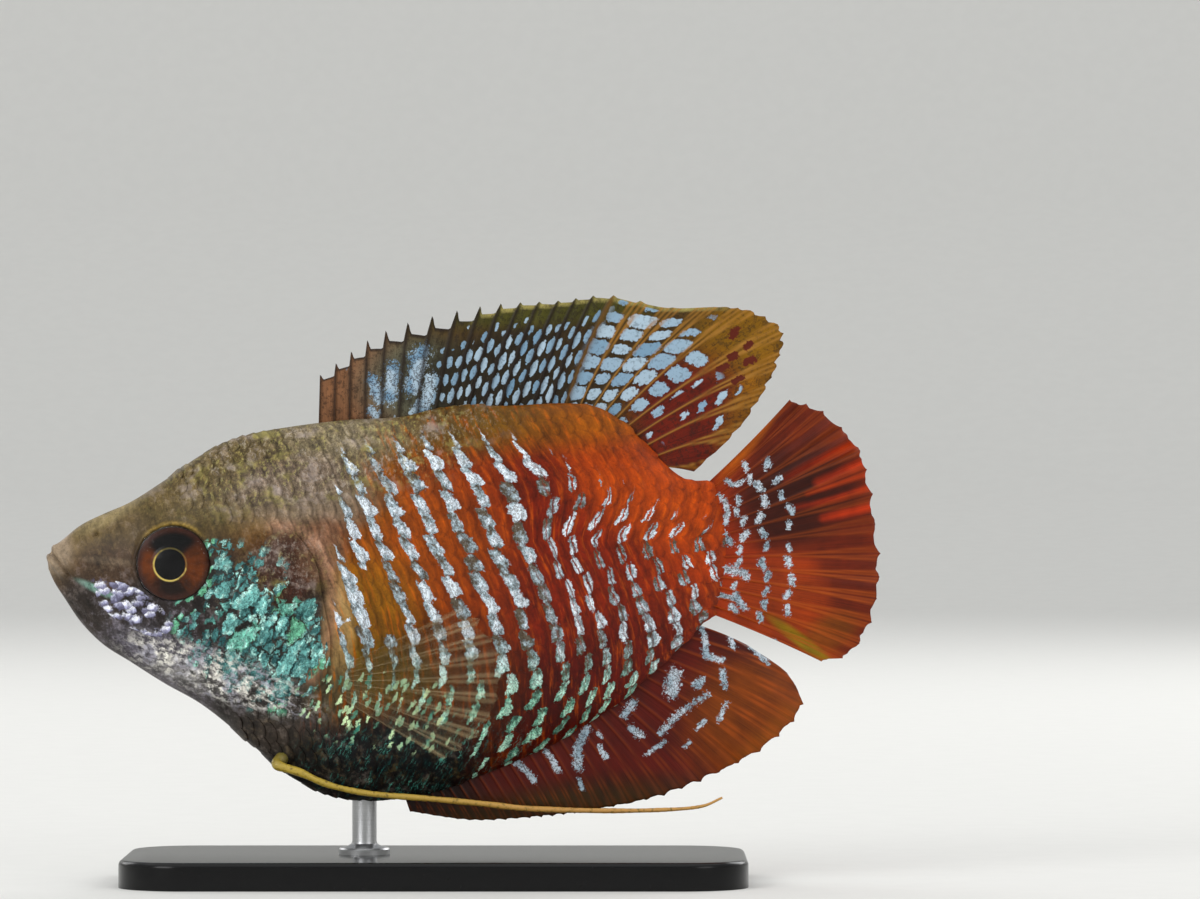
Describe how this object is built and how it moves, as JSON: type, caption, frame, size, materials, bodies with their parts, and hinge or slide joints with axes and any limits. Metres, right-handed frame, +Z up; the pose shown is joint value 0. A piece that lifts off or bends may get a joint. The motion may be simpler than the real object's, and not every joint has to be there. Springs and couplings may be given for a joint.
{
  "type": "dwarf gourami",
  "caption": "Life-size still model of a small deep-bodied labyrinth fish with spread fins and long pelvic filaments, held on a flat display stand by one rod.",
  "frame": {"origin": "middle of the underside of the stand's base", "axes": "-X the way the fish faces, +Z up, -Y towards the fish's left side"},
  "size_m": [0.0751, 0.027, 0.0528],
  "materials": {
    "head_skin": "olive-brown fish skin, satin",
    "flank_skin": "orange-red scaled skin with silver-blue bars, satin",
    "gill_cover_skin": "dark skin with turquoise iridescent patches",
    "eye": "orange-brown iris, black pupil, wet gloss",
    "dorsal_fin_skin": "dark web with pale blue spots, satin",
    "red_fin_skin": "red web with orange rays, satin",
    "clear_fin_skin": "nearly clear web with pale rays",
    "filament": "golden yellow, satin",
    "stand_base": "black, polished",
    "stand_rod": "brushed"
  },
  "bodies": {
    "root": {"head": "head_skin", "torso": "flank_skin", "tail_stalk": "flank_skin", "gill_cover_left": "gill_cover_skin", "gill_cover_right": "gill_cover_skin", "eye_left": "eye", "eye_right": "eye", "dorsal_fin": "dorsal_fin_skin", "anal_fin": "red_fin_skin", "tail_fin": "red_fin_skin", "pectoral_fin_left": "clear_fin_skin", "pectoral_fin_right": "clear_fin_skin", "pelvic_fin_left": "filament", "pelvic_fin_right": "filament", "stand_base": "stand_base", "stand_rod": "stand_rod"}
  },
  "joints": []
}
